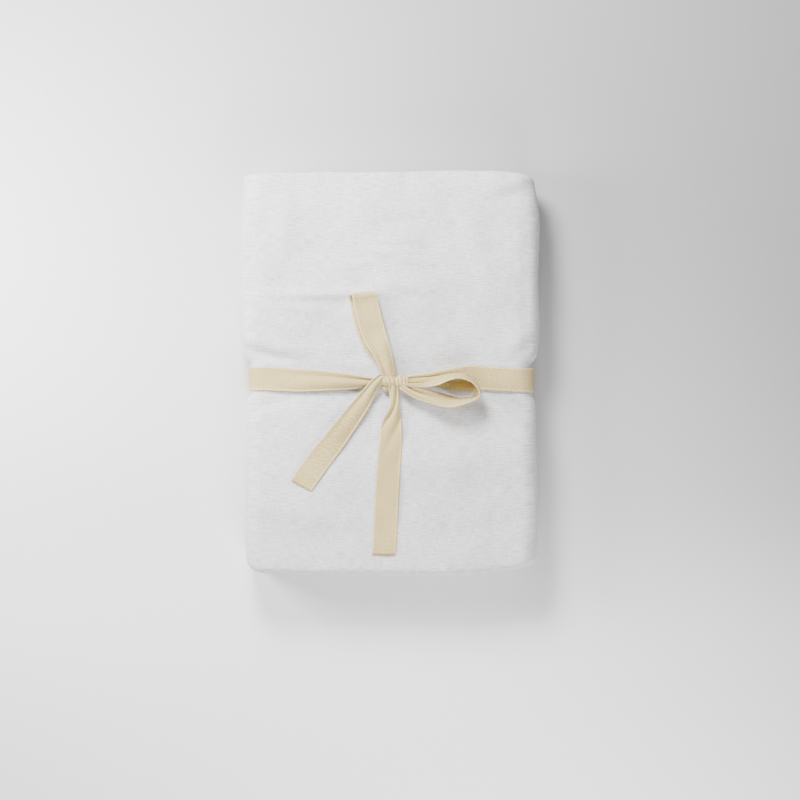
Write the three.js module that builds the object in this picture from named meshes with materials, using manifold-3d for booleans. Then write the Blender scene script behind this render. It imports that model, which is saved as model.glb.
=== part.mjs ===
// Folded mattress protector tied with a twill tape bow, lying on its back.
// Millimetres. +X runs across the face to the right, +Y up the face, +Z out of the face.
// The cloth is one sheet: four layers long-ways, then three panels side to side.
import * as THREE from "three";
import { mergeVertices } from "three/addons/utils/BufferGeometryUtils.js";
import Module from "manifold-3d";

const wasm = await Module();
wasm.setup();

// Cloth
const CLOTH = 2.6; // thickness of the brushed cloth
const PITCH = 3.6; // from one layer to the next
const FACE_WIDTH = 238; // before the outline below is applied
const FACE_HEIGHT = 322;
const SIDE_RADIUS = 2 * PITCH; // of a panel's middle where it turns over a side
const OUTER_FOLD = 1.5 * PITCH; // radius of the wide fold at the bottom
const INNER_FOLD = 0.5 * PITCH; // radius of a fold between two neighbouring layers
const OUTERMOST = 1.5 * PITCH + CLOTH / 2; // from a panel's middle to its outer surface
const PANEL = 4 * PITCH; // thickness that a panel takes up in the stack
const STACK = 2 * PANEL + 2 * OUTERMOST;

// Heights of the middles of the three panels, the lowest one first
const UNDER_Z = OUTERMOST;
const MIDDLE_Z = OUTERMOST + PANEL;
const FACE_Z = OUTERMOST + 2 * PANEL;

// Sides: where the flat part of each panel ends
const TURN_X = FACE_WIDTH / 2 - SIDE_RADIUS - OUTERMOST;
const MIDDLE_EDGE_X = -TURN_X + 0.8; // the tucked-in edge of the middle panel
const UNDER_EDGE_X = FACE_WIDTH / 2 - 6; // the free edge of the lowest panel
const SKEW = { middle: -1.2, under: -2 }; // how far those edges slip up or down at their ends

// Ends: where the flat part of each layer ends
const BOTTOM_Y = -FACE_HEIGHT / 2 + OUTER_FOLD + CLOTH / 2;
const TOP_Y = FACE_HEIGHT / 2 - INNER_FOLD - CLOTH / 2;
const HEM_PROUD = { inmost: 1.5, second: 0.9 }; // hems that stand above the folded top edge

// Rows along the height that every layer has, closer where the tape pulls the cloth in
const ROWS = [-140, -104, -64, -34, -22, -16.5, 8.5, 14, 28, 62, 102, 138];
const FLAT_STEPS = { middle: 6, face: 10, under: 6 };
const TURN_STEPS = { right: 6, left: 3, outerFold: 6, innerFold: 4 };

// The photographed outline of the face, from its middle
const LEFT_EDGE = [
  { at: -161, edge: -112.5 },
  { at: -150, edge: -115 },
  { at: -133, edge: -116 },
  { at: -100, edge: -116.8 },
  { at: -60, edge: -116 },
  { at: -22, edge: -115.4 },
  { at: -16.5, edge: -112.2 },
  { at: 8.5, edge: -112.2 },
  { at: 14, edge: -117 },
  { at: 28, edge: -120 },
  { at: 108, edge: -120 },
  { at: 140, edge: -118 },
  { at: 161, edge: -117.4 },
];
const RIGHT_EDGE = [
  { at: -161, edge: 114.5 },
  { at: -150, edge: 117.6 },
  { at: -133, edge: 118.4 },
  { at: -66, edge: 118.3 },
  { at: -40, edge: 117.2 },
  { at: -22, edge: 116.6 },
  { at: -16.5, edge: 114.6 },
  { at: 8.5, edge: 113.8 },
  { at: 14, edge: 117.8 },
  { at: 28, edge: 118.9 },
  { at: 44, edge: 119.6 },
  { at: 124, edge: 119.6 },
  { at: 142, edge: 117.8 },
  { at: 161, edge: 114.2 },
];
const BOTTOM_EDGE = [
  { at: -119, edge: -157.6 },
  { at: -104, edge: -159.4 },
  { at: -80, edge: -160.8 },
  { at: 40, edge: -160.8 },
  { at: 76, edge: -158.9 },
  { at: 100, edge: -157 },
  { at: 119, edge: -152.6 },
];
const TOP_EDGE = [
  { at: -119, edge: 159.6 },
  { at: -95, edge: 160.4 },
  { at: -45, edge: 160.6 },
  { at: 0, edge: 161.2 },
  { at: 80, edge: 162 },
  { at: 104, edge: 160.4 },
  { at: 119, edge: 157.4 },
];

// How far the face stands above or below the flat stack, by height
const FACE_RISE = [
  { at: -161, edge: 0.4 },
  { at: -130, edge: 1.6 },
  { at: -70, edge: 2.4 },
  { at: -30, edge: 0.4 },
  { at: -16.5, edge: -1.4 },
  { at: 8.5, edge: -1.4 },
  { at: 22, edge: 0.2 },
  { at: 70, edge: 2.2 },
  { at: 130, edge: 0.8 },
  { at: 161, edge: -1.6 },
];
const CROWN = 1.6; // rise of the middle of the face over its sides

// Tape
const TAPE = 1.1; // thickness
const TAPE_WIDTH = 19;
const TAPE_GAP = 0.6; // from the cloth to the tape
const GROOVE = TAPE_GAP + TAPE; // the cloth's underside is pressed in this far under the tape
const GROOVE_ROWS = { low: -16.5, high: 8.5, fade: 5.5 };
const BAND_Y = { left: -3.6, right: -4.9 }; // middle of the band at the two sides
const ACROSS = 5; // points across the tape

// Rollers that the taut band runs over, looking along the height: left top, left bottom, right bottom, right top
const BAND_OUT = TAPE_GAP + TAPE / 2;
const CORNER = SIDE_RADIUS + OUTERMOST + BAND_OUT;
const ROLLERS = [
  { x: -TURN_X, z: FACE_Z - SIDE_RADIUS, radius: CORNER },
  { x: -TURN_X, z: UNDER_Z + SIDE_RADIUS, radius: CORNER },
  { x: UNDER_EDGE_X - 0.7, z: 1.6, radius: 1.6 + BAND_OUT },
  { x: TURN_X, z: FACE_Z - SIDE_RADIUS, radius: CORNER },
];
const ROLLER_STEPS = [7, 7, 4, 8];

// Stations along the free parts of the tape. x and y place the middle of the tape on the face, lift is its
// height over the cloth, width is what shows of its breadth, turn the direction of its breadth in the face,
// tilt how far the breadth stands up, and ridge how high its middle is gathered up.
const LEFT_ARM = [
  { x: -91, y: -4, lift: 1.2, width: 19, turn: 90, tilt: 0, ridge: 0 },
  { x: -72, y: -5, lift: 1.6, width: 18.4, turn: 91, tilt: -2, ridge: 0.3 },
  { x: -52, y: -5.4, lift: 2.3, width: 15.8, turn: 92, tilt: -7, ridge: 1.2 },
  { x: -32, y: -6.3, lift: 3.2, width: 11.8, turn: 92, tilt: -12, ridge: 1.8 },
  { x: -13, y: -6.9, lift: 4.2, width: 6.8, turn: 92, tilt: -10, ridge: 1.6 },
  { x: 0, y: -6.8, lift: 4.6, width: 6, turn: 92, tilt: -4, ridge: 0.6 },
];
const RIGHT_ARM = [
  { x: 8, y: -6.4, lift: 4.4, width: 6, turn: 90, tilt: 0, ridge: 0.6 },
  { x: 18, y: -5.2, lift: 3.2, width: 7, turn: 92, tilt: 0, ridge: 1.4 },
  { x: 30, y: -4.6, lift: 2.4, width: 10.6, turn: 94, tilt: 0, ridge: 1.2 },
  { x: 46, y: -3.6, lift: 1.6, width: 15.6, turn: 94, tilt: 0, ridge: 0.5 },
  { x: 62, y: -2.8, lift: 1.2, width: 19, turn: 90, tilt: 0, ridge: 0.2 },
  { x: 78, y: -3.4, lift: 1.2, width: 19, turn: 88, tilt: 0, ridge: 0 },
  { x: 93, y: -4.3, lift: 1.2, width: 19, turn: 88, tilt: 0, ridge: 0 },
];
const LEFT_TAIL = [
  { x: 2, y: -4, lift: 5.6, width: 6, turn: -40, tilt: 0, ridge: 0.4 },
  { x: -6, y: -4.6, lift: 5.4, width: 7.4, turn: -44, tilt: -6, ridge: 1 },
  { x: -15.8, y: -15.2, lift: 3.8, width: 9.6, turn: -40, tilt: -8, ridge: 1.6 },
  { x: -24.8, y: -28.2, lift: 3, width: 13.8, turn: -37, tilt: -10, ridge: 1.4 },
  { x: -43.5, y: -51.9, lift: 2.1, width: 17.6, turn: -37, tilt: -4, ridge: 0.6 },
  { x: -60.6, y: -74, lift: 1.6, width: 19, turn: -37, tilt: 0, ridge: 0.2 },
  { x: -70.8, y: -89.3, lift: 1.3, width: 18, turn: -30, tilt: 0, ridge: 0 },
];
const DOWN_TAIL = [
  { x: 2, y: -6, lift: 4.6, width: 6.4, turn: 0, tilt: 0, ridge: 0.6 },
  { x: 3, y: -13, lift: 4.4, width: 7.2, turn: 0, tilt: 4, ridge: 1.8 },
  { x: 4, y: -23, lift: 3.4, width: 7, turn: 0, tilt: 8, ridge: 2.4 },
  { x: 3, y: -30, lift: 2.6, width: 10, turn: -2, tilt: 6, ridge: 2 },
  { x: 1.4, y: -39.2, lift: 1.9, width: 15.8, turn: -3, tilt: 2, ridge: 1 },
  { x: 0.2, y: -57.4, lift: 1.5, width: 18, turn: -4, tilt: 0, ridge: 0.4 },
  { x: -2, y: -85.2, lift: 1.4, width: 18.8, turn: -4, tilt: 0, ridge: 0 },
  { x: -3.7, y: -122.4, lift: 1.3, width: 19, turn: -3, tilt: 0, ridge: 0 },
  { x: -5.3, y: -144, lift: 1.2, width: 18.4, turn: -1, tilt: 0, ridge: 0 },
];
// The loop that lies up the face: out along its back layer, over its end and home along its front layer
const UPPER_LOOP = [
  { x: 3, y: -6, lift: 4, width: 7, turn: 20, tilt: 0, ridge: 0.4 },
  { x: -1.6, y: 4.5, lift: 3.6, width: 11, turn: 22, tilt: 0, ridge: 0.6 },
  { x: -7.4, y: 15.6, lift: 2.8, width: 15.6, turn: 24, tilt: 0, ridge: 0.2 },
  { x: -13.2, y: 27, lift: 2, width: 18.6, turn: 20, tilt: 0, ridge: 0 },
  { x: -17, y: 40, lift: 1.6, width: 19, turn: 14, tilt: 0, ridge: 0 },
  { x: -20.6, y: 53, lift: 1.3, width: 19, turn: 11, tilt: 0, ridge: 0 },
  { x: -22, y: 59.6, lift: 1.3, width: 19, turn: 8, tilt: 0, ridge: 0 },
  { x: -22.2, y: 62.2, lift: 2.1, width: 19, turn: 4, tilt: 0, ridge: 0 },
  { x: -21.4, y: 63.2, lift: 3.6, width: 19, turn: 0, tilt: 0, ridge: 0 },
  { x: -20, y: 62, lift: 5.1, width: 19, turn: 1, tilt: 0, ridge: 0 },
  { x: -18.8, y: 58.8, lift: 5.6, width: 19, turn: 5, tilt: 0, ridge: 0 },
  { x: -15.8, y: 47.6, lift: 6, width: 19, turn: 10, tilt: 0, ridge: 0 },
  { x: -14.8, y: 37, lift: 6.4, width: 19, turn: 14, tilt: 0, ridge: 0 },
  { x: -11.8, y: 26.4, lift: 6.8, width: 18.4, turn: 20, tilt: 0, ridge: 0 },
  { x: -7, y: 16.6, lift: 7.2, width: 15.8, turn: 24, tilt: 0, ridge: 0.6 },
  { x: -3.2, y: 7.6, lift: 7.4, width: 12.6, turn: 22, tilt: 0, ridge: 1 },
  { x: 2, y: -4, lift: 7, width: 9, turn: 20, tilt: 0, ridge: 0.4 },
];
// The loop that stands on its edge to the right. Here x and y place the edge nearest the viewer, foot and lift
// are the heights of its two edges over the cloth, and lean is how far up the face its far edge lies.
const RIGHT_LOOP = [
  { x: 8, y: -6, foot: 2.8, lift: 7.4, lean: 0 },
  { x: 18, y: -5.8, foot: 2.8, lift: 10, lean: 0.2 },
  { x: 29, y: -4.4, foot: 2.5, lift: 14, lean: 0.2 },
  { x: 41, y: -2.9, foot: 2.3, lift: 17.6, lean: -0.4 },
  { x: 53, y: -1.7, foot: 2.3, lift: 20, lean: -1 },
  { x: 62, y: -3.2, foot: 2.3, lift: 20.6, lean: -1.2 },
  { x: 68.8, y: -7.4, foot: 2.3, lift: 20.6, lean: -0.6 },
  { x: 72.4, y: -12.6, foot: 2.3, lift: 20.6, lean: 0.6 },
  { x: 71, y: -17.6, foot: 2.3, lift: 20.4, lean: 2 },
  { x: 65, y: -21.4, foot: 2.3, lift: 20, lean: 3.8 },
  { x: 56, y: -24.4, foot: 2.3, lift: 19.4, lean: 5.8 },
  { x: 45.6, y: -25.8, foot: 2.4, lift: 18.2, lean: 7.4 },
  { x: 32, y: -22.4, foot: 2.6, lift: 14.6, lean: 5.6 },
  { x: 20, y: -17, foot: 2.8, lift: 10.6, lean: 3 },
  { x: 8, y: -9, foot: 3, lift: 7, lean: 0.4 },
];
// Lumps of the knot: the wrap at the left, the fuller wrap at the right and the pinched tuck under the left one
const KNOT = [
  { x: 0.6, y: -6.6, lift: 5.2, long: 13.4, high: 10, deep: 8.4 },
  { x: 9.6, y: -6.8, lift: 5.2, long: 12.6, high: 11, deep: 9.4 },
  { x: -3.2, y: -11, lift: 4, long: 5.6, high: 6.4, deep: 5.4 },
];
const KNOT_FACETS = 12;

const mix = (a, b, t) => a + (b - a) * t;

// Value of a table at a place, on a smooth curve through its rows.
function along(table, place) {
  const last = table.length - 1;
  if (place <= table[0].at) return table[0].edge;
  if (place >= table[last].at) return table[last].edge;
  const i = table.findIndex((row) => row.at > place) - 1;
  const [a, b] = [table[i], table[i + 1]];
  const gap = b.at - a.at;
  const climb = (j) => (table[j + 1].edge - table[j].edge) / (table[j + 1].at - table[j].at);
  // The slope at a row lies between those of its two stretches, so that the curve never overshoots.
  const slope = (j) => {
    if (j === 0 || j === last) return climb(Math.min(j, last - 1));
    const [before, after] = [climb(j - 1), climb(j)];
    return before * after > 0 ? (2 * before * after) / (before + after) : 0;
  };
  const [m0, m1] = [slope(i) * gap, slope(i + 1) * gap];
  const t = (place - a.at) / gap;
  const share = t * t * (3 - 2 * t);
  return mix(a.edge, b.edge, share) + m0 * t * (1 - t) ** 2 + m1 * t * t * (t - 1);
}

// How fully the underside is pressed in by the tape at this height, from 0 to 1.
function grooveDepth(y) {
  const below = THREE.MathUtils.smoothstep(y, GROOVE_ROWS.low - GROOVE_ROWS.fade, GROOVE_ROWS.low);
  const above = THREE.MathUtils.smoothstep(y, GROOVE_ROWS.high, GROOVE_ROWS.high + GROOVE_ROWS.fade);
  return below * (1 - above);
}

// Height of the stack's layer at z, once the cloth is plumped up and tied.
function plumped(x, y, z) {
  const u = THREE.MathUtils.clamp((2 * x) / FACE_WIDTH, -1, 1);
  const rise = along(FACE_RISE, y) + CROWN * (1 - u * u);
  return z * (1 + rise / STACK) + GROOVE * grooveDepth(y) * (1 - z / STACK);
}

// A point of the flat, even stack moved to where the photographed bundle has it.
function bundled(x, y, z) {
  const end = FACE_HEIGHT / 2;
  const shift = y < 0 ? along(BOTTOM_EDGE, x) + end : along(TOP_EDGE, x) - end;
  const y1 = y + shift * Math.abs(y / end) ** 3;
  const right = (x + FACE_WIDTH / 2) / FACE_WIDTH;
  const x1 = mix(along(LEFT_EDGE, y1), along(RIGHT_EDGE, y1), right);
  return [x1, y1, plumped(x1, y1, z)];
}

// Height of the cloth's face at a place.
const faceAt = (x, y) => plumped(x, y, STACK);

// A closed mesh from rings of points, all with as many points, and a strip of quads over each end.
function closedSweep(rings) {
  const ring = rings[0].length;
  const half = ring / 2;
  const points = rings.flat(2);
  const faces = [];
  const quad = (a, b, c, d) => faces.push(a, b, c, a, c, d);
  for (let i = 0; i + 1 < rings.length; i++) {
    for (let j = 0; j < ring; j++) {
      const k = (j + 1) % ring;
      quad(i * ring + j, i * ring + k, (i + 1) * ring + k, (i + 1) * ring + j);
    }
  }
  const end = (rings.length - 1) * ring;
  for (let j = 0; j + 1 < half; j++) {
    quad(ring - 1 - j, ring - 2 - j, j + 1, j);
    quad(end + j, end + j + 1, end + ring - 2 - j, end + ring - 1 - j);
  }
  const geometry = new THREE.BufferGeometry();
  geometry.setAttribute("position", new THREE.Float32BufferAttribute(points, 3));
  geometry.setIndex(faces);
  return geometry;
}

// The four layers of a panel, seen from its side: points { y, out } with the cloth's own normal.
function panelProfile() {
  const path = [];
  const layer = (level) => (level - 1.5) * PITCH;
  const run = (level, ys) => {
    const facing = ys[0] > ys[1] ? -1 : 1;
    ys.forEach((y) => path.push({ y, out: layer(level), ny: 0, nout: facing }));
  };
  const fold = (y, out, radius, from, to, steps) => {
    const side = to < from ? 1 : -1;
    for (let i = 1; i < steps; i++) {
      const angle = THREE.MathUtils.degToRad(mix(from, to, i / steps));
      const [c, s] = [Math.cos(angle), Math.sin(angle)];
      path.push({ y: y + radius * c, out: out + radius * s, ny: side * c, nout: side * s });
    }
  };
  const down = [...ROWS].reverse();
  const hemTop = FACE_HEIGHT / 2;
  run(0, [hemTop + HEM_PROUD.inmost, ...down, BOTTOM_Y]);
  fold(BOTTOM_Y, 0, OUTER_FOLD, -90, -270, TURN_STEPS.outerFold);
  run(3, [BOTTOM_Y, ...ROWS, TOP_Y]);
  fold(TOP_Y, PITCH, INNER_FOLD, 90, -90, TURN_STEPS.innerFold);
  run(2, [TOP_Y, ...down, BOTTOM_Y]);
  fold(BOTTOM_Y, 0, INNER_FOLD, 90, 270, TURN_STEPS.innerFold);
  run(1, [BOTTOM_Y, ...ROWS, hemTop + HEM_PROUD.second]);
  return path;
}

// The way the panels follow each other, seen along the height: middle panel, right side, face, left side, under.
function panelPath() {
  const path = [];
  const flat = (from, to, z, steps, skip, slip) => {
    const out = to < from ? 1 : -1;
    for (let i = skip; i <= steps; i++) {
      const t = i / steps;
      path.push({ x: mix(from, to, t), z, nx: 0, nz: out, slip: slip(t) });
    }
  };
  const turn = (x, z, from, to, steps) => {
    for (let i = 1; i <= steps; i++) {
      const angle = THREE.MathUtils.degToRad(mix(from, to, i / steps));
      const [nx, nz] = [Math.cos(angle), Math.sin(angle)];
      path.push({ x: x + SIDE_RADIUS * nx, z: z + SIDE_RADIUS * nz, nx, nz, slip: 0 });
    }
  };
  const rightHub = FACE_Z - SIDE_RADIUS;
  flat(MIDDLE_EDGE_X, TURN_X, MIDDLE_Z, FLAT_STEPS.middle, 0, (t) => SKEW.middle * (1 - t));
  turn(TURN_X, rightHub, -90, 90, TURN_STEPS.right);
  flat(TURN_X, -TURN_X, FACE_Z, FLAT_STEPS.face, 1, () => 0);
  turn(-TURN_X, rightHub, 90, 180, TURN_STEPS.left);
  turn(-TURN_X, UNDER_Z + SIDE_RADIUS, 180, 270, TURN_STEPS.left);
  flat(-TURN_X, UNDER_EDGE_X, UNDER_Z, FLAT_STEPS.under, 1, (t) => SKEW.under * t);
  return path;
}

function makeProtector() {
  const profile = panelProfile();
  const skin = (side) => profile.map((p) => [p.y + (side * p.ny * CLOTH) / 2, p.out + (side * p.nout * CLOTH) / 2]);
  const section = [...skin(1), ...skin(-1).reverse()];
  const slipped = (y, slip) => y + slip * ((2 * y) / FACE_HEIGHT) ** 2;
  const rings = panelPath().map((at) =>
    section.map(([y, out]) => bundled(at.x + out * at.nx, slipped(y, at.slip), at.z + out * at.nz)),
  );
  return closedSweep(rings);
}

// A strip of tape through stations of { middle, breadth, ridge, thick }, with flat cut ends.
function ribbon(stations) {
  const middles = stations.map((s) => s.middle);
  const rings = stations.map((s, i) => {
    const before = middles[Math.max(i - 1, 0)];
    const after = middles[Math.min(i + 1, middles.length - 1)];
    const run = after.clone().sub(before);
    const normal = run.cross(s.breadth).normalize();
    const side = (sign) =>
      Array.from({ length: ACROSS }, (_, j) => {
        const t = (2 * j) / (ACROSS - 1) - 1;
        const hump = s.ridge * (1 - t * t) + (sign * s.thick) / 2;
        return s.middle.clone().addScaledVector(s.breadth, t).addScaledVector(normal, hump).toArray();
      });
    return [...side(-1), ...side(1).reverse()];
  });
  return closedSweep(rings);
}

// Rows of a table of numbers, with smooth in-between rows.
function smoothed(table, steps) {
  const rows = [];
  for (let i = 0; i + 1 < table.length; i++) {
    const near = [i - 1, i, i + 1, i + 2].map((j) => table[THREE.MathUtils.clamp(j, 0, table.length - 1)]);
    for (let k = 0; k < steps; k++) {
      const t = k / steps;
      const row = {};
      for (const key of Object.keys(table[0])) {
        const [a, b, c, d] = near.map((r) => r[key]);
        const [m0, m1] = [(c - a) / 2, (d - b) / 2];
        const share = t * t * (3 - 2 * t);
        row[key] = mix(b, c, share) + m0 * t * (1 - t) ** 2 + m1 * t * t * (t - 1);
      }
      rows.push(row);
    }
  }
  rows.push({ ...table[table.length - 1] });
  return rows;
}

// Stations of tape that lies over the face, from a table of { x, y, lift, width, turn, tilt, ridge }.
function lying(table, steps) {
  return smoothed(table, steps).map((row) => {
    const [turn, tilt] = [row.turn, row.tilt].map(THREE.MathUtils.degToRad);
    const breadth = new THREE.Vector3(
      Math.cos(turn) * Math.cos(tilt),
      Math.sin(turn) * Math.cos(tilt),
      Math.sin(tilt),
    ).multiplyScalar(row.width / 2);
    const middle = new THREE.Vector3(row.x, row.y, faceAt(row.x, row.y) + row.lift);
    return { middle, breadth, ridge: row.ridge, thick: TAPE };
  });
}

// Stations of tape that stands on its edge, from a table of { x, y, foot, lift, lean }.
function standing(table, steps) {
  return smoothed(table, steps).map((row) => {
    const face = faceAt(row.x, row.y);
    const near = new THREE.Vector3(row.x, row.y, face + row.lift);
    const far = new THREE.Vector3(row.x, row.y + row.lean, face + row.foot);
    const middle = near.clone().add(far).multiplyScalar(0.5);
    return { middle, breadth: near.sub(far).multiplyScalar(0.5), ridge: 0, thick: TAPE };
  });
}

// The taut band round the back: over each roller, and straight from one to the next.
function bandStations() {
  const contact = (a, b) => {
    const way = Math.atan2(b.z - a.z, b.x - a.x);
    const apart = Math.hypot(b.x - a.x, b.z - a.z);
    return way - Math.acos((a.radius - b.radius) / apart);
  };
  const round = (angle, from) => from + THREE.MathUtils.euclideanModulo(angle - from, 2 * Math.PI);
  const stations = [];
  let start = Math.PI / 2;
  ROLLERS.forEach((roller, i) => {
    const next = ROLLERS[i + 1];
    const stop = next ? round(contact(roller, next), start) : round(Math.PI / 2, start);
    for (let k = 0; k <= ROLLER_STEPS[i]; k++) {
      const angle = mix(start, stop, k / ROLLER_STEPS[i]);
      const x = roller.x + roller.radius * Math.cos(angle);
      const z = roller.z + roller.radius * Math.sin(angle);
      const y = mix(BAND_Y.left, BAND_Y.right, (x + FACE_WIDTH / 2) / FACE_WIDTH);
      const [low, high] = [-1, 1].map((s) => new THREE.Vector3(...bundled(x, y + (s * TAPE_WIDTH) / 2, z)));
      const middle = low.clone().add(high).multiplyScalar(0.5);
      stations.push({ middle, breadth: high.sub(low).multiplyScalar(0.5), ridge: 0, thick: TAPE });
    }
    start = stop;
  });
  return stations;
}

// A rounded lump of gathered tape.
function lump({ x, y, lift, long, high, deep }) {
  const geometry = new THREE.SphereGeometry(0.5, KNOT_FACETS, KNOT_FACETS);
  geometry.rotateZ(Math.PI / 2);
  geometry.scale(long, high, deep);
  geometry.translate(x, y, faceAt(x, y) + lift);
  return geometry;
}

function solid(geometry) {
  const bare = geometry.clone();
  bare.deleteAttribute("normal");
  bare.deleteAttribute("uv");
  const merged = mergeVertices(bare, 1e-4);
  return new wasm.Manifold(
    new wasm.Mesh({
      numProp: 3,
      vertProperties: new Float32Array(merged.attributes.position.array),
      triVerts: new Uint32Array(merged.index.array),
    }),
  );
}

function geometryOf(made) {
  const mesh = made.getMesh();
  const geometry = new THREE.BufferGeometry();
  geometry.setAttribute("position", new THREE.BufferAttribute(mesh.vertProperties, 3));
  geometry.setIndex(new THREE.BufferAttribute(mesh.triVerts, 1));
  geometry.computeVertexNormals();
  return geometry;
}

function makeTieTape() {
  const round = [...lying(LEFT_ARM, 3).reverse(), ...bandStations(), ...lying(RIGHT_ARM, 3).reverse()];
  const parts = [
    ribbon(round),
    ribbon(lying(LEFT_TAIL, 3)),
    ribbon(lying(DOWN_TAIL, 3)),
    ribbon(lying(UPPER_LOOP, 2)),
    ribbon(standing(RIGHT_LOOP, 3)),
    ...KNOT.map(lump),
  ];
  return geometryOf(parts.map(solid).reduce((whole, part) => whole.add(part)));
}

function namedMesh(name, geometry, finish) {
  const mesh = new THREE.Mesh(geometry, new THREE.MeshStandardMaterial(finish));
  mesh.name = name;
  return mesh;
}

const flannel = { color: 0xdcdadb, roughness: 0.95, metalness: 0 };
const twill = { color: 0xdccfb2, roughness: 0.9, metalness: 0 };
const bundle = new THREE.Group();
bundle.add(namedMesh("protector", makeProtector(), flannel));
bundle.add(namedMesh("tie_tape", makeTieTape(), twill));

// The origin is under the middle of the bundle, on what it lies on.
const box = new THREE.Box3().setFromObject(bundle);
bundle.position.set(-(box.min.x + box.max.x) / 2, -(box.min.y + box.max.y) / 2, -box.min.z);
const part = new THREE.Group();
part.add(bundle);
export default part;
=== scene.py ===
"""A crib mattress protector folded into a flat bundle and tied with a twill tape bow.

The bundle lies on its back: +X runs across the face to the right, +Y up the face and +Z out of it.
Shape tables are in millimetres, from the middle of the face, and meshes are made in metres.
"""
import math

import bpy
import numpy as np
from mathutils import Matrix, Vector


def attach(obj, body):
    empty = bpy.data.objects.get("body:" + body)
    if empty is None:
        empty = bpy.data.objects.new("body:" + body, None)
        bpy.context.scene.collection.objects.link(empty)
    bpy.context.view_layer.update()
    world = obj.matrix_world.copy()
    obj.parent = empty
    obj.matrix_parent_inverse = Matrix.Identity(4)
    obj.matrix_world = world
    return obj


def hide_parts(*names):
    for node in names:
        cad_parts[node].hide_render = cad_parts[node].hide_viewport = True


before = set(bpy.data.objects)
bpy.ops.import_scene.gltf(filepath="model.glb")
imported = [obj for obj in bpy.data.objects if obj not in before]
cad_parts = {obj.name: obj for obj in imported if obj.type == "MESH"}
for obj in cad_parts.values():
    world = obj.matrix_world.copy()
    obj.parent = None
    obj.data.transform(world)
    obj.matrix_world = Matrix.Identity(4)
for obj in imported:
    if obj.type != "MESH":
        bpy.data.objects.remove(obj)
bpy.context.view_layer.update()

bl_info = {
    "name": "Folded Protector Bundle",
    "version": (1, 0, 0),
    "blender": (4, 5, 0),
    "location": "View3D > Sidebar > Bundle",
    "description": "Folds a mattress protector into a bundle, ties it with a tape bow and lights it",
    "category": "Add Mesh",
}

MM = 0.001
BUNDLE_SHIFT = (0.2, -0.69)  # from the middle of the face to the frame's own middle
FLAT_MAP = "cloth"  # map of each sheet laid out flat, in metres

# Folded stack
FACE_WIDTH = 238
FACE_HEIGHT = 322
PITCH = 3.6  # from one layer to the next
SIDE_RADIUS = 2 * PITCH
OUTER_FOLD = 1.5 * PITCH
INNER_FOLD = 0.5 * PITCH
OUTERMOST = 6.7  # from a panel's middle to its outer surface
PANEL = 4 * PITCH
STACK = 2 * PANEL + 2 * OUTERMOST
UNDER_Z = OUTERMOST
MIDDLE_Z = OUTERMOST + PANEL
FACE_Z = OUTERMOST + 2 * PANEL
TURN_X = FACE_WIDTH / 2 - SIDE_RADIUS - OUTERMOST
MIDDLE_EDGE_X = -TURN_X + 0.3
UNDER_EDGE_X = FACE_WIDTH / 2 - 6
SKEW = {"middle": -1.2, "under": -2}
BOTTOM_Y = -FACE_HEIGHT / 2 + OUTER_FOLD + 1.3
TOP_Y = FACE_HEIGHT / 2 - INNER_FOLD - 1.3
HEM_PROUD = {"inmost": 1.5, "second": 0.9}

# Distance between mesh rows
FINE = 2.4
COARSE = 15
TURN_STEPS = {"right": 16, "left": 8, "outer_fold": 12, "inner_fold": 7}
HEM_ROWS = (0, 0.12, 0.45, 0.9, 1.4, 3, 5.6, 7.4, 8.3, 9, 9.7, 10.6, 12.4)
HEM_STITCH = 9  # from the edge to the stitch line
HEM_EXTRA = 0.12  # the turned hem adds this to each side of the cloth
HEM_PINCH = 0.4  # and its stitches draw in this much
HEM_FADE = 2.5  # from the stitch line to where the turned hem has run out
STITCH_GROOVE = 0.8  # half width of the groove that the stitches draw
STITCH_STEP = 3.2  # from one stitch to the next

# Outline of the face: (place along it, edge)
LEFT_EDGE = (
    (-161, -112.5),
    (-150, -115),
    (-133, -116),
    (-100, -116.8),
    (-60, -116),
    (-22, -115.4),
    (-16.5, -112.2),
    (8.5, -112.2),
    (14, -117),
    (28, -120),
    (108, -120),
    (140, -118),
    (161, -117.4),
)
RIGHT_EDGE = (
    (-161, 114.5),
    (-150, 117.6),
    (-133, 118.4),
    (-66, 118.3),
    (-40, 117.2),
    (-22, 116.6),
    (-16.5, 114.6),
    (8.5, 113.8),
    (14, 117.8),
    (28, 118.9),
    (44, 119.6),
    (124, 119.6),
    (142, 117.8),
    (161, 114.2),
)
BOTTOM_EDGE = (
    (-119, -157.6),
    (-104, -159.4),
    (-80, -160.8),
    (40, -160.8),
    (76, -158.9),
    (100, -157),
    (119, -152.6),
)
TOP_EDGE = (
    (-119, 159.6),
    (-95, 160.4),
    (-45, 160.6),
    (0, 161.2),
    (80, 162),
    (104, 160.4),
    (119, 157.4),
)
FACE_RISE = (
    (-161, 0.4),
    (-130, 1.6),
    (-70, 2.4),
    (-30, 0.4),
    (-16.5, -1.4),
    (8.5, -1.4),
    (22, 0.2),
    (70, 2.2),
    (130, 0.8),
    (161, -1.6),
)
CROWN = 1.6  # how much higher the middle of the face is than its sides
GROOVE_ROWS = {"low": -16.5, "high": 8.5, "fade": 5.5}
GROOVE_CALM = 0.8  # share of the creases that the taut tape presses out

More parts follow.
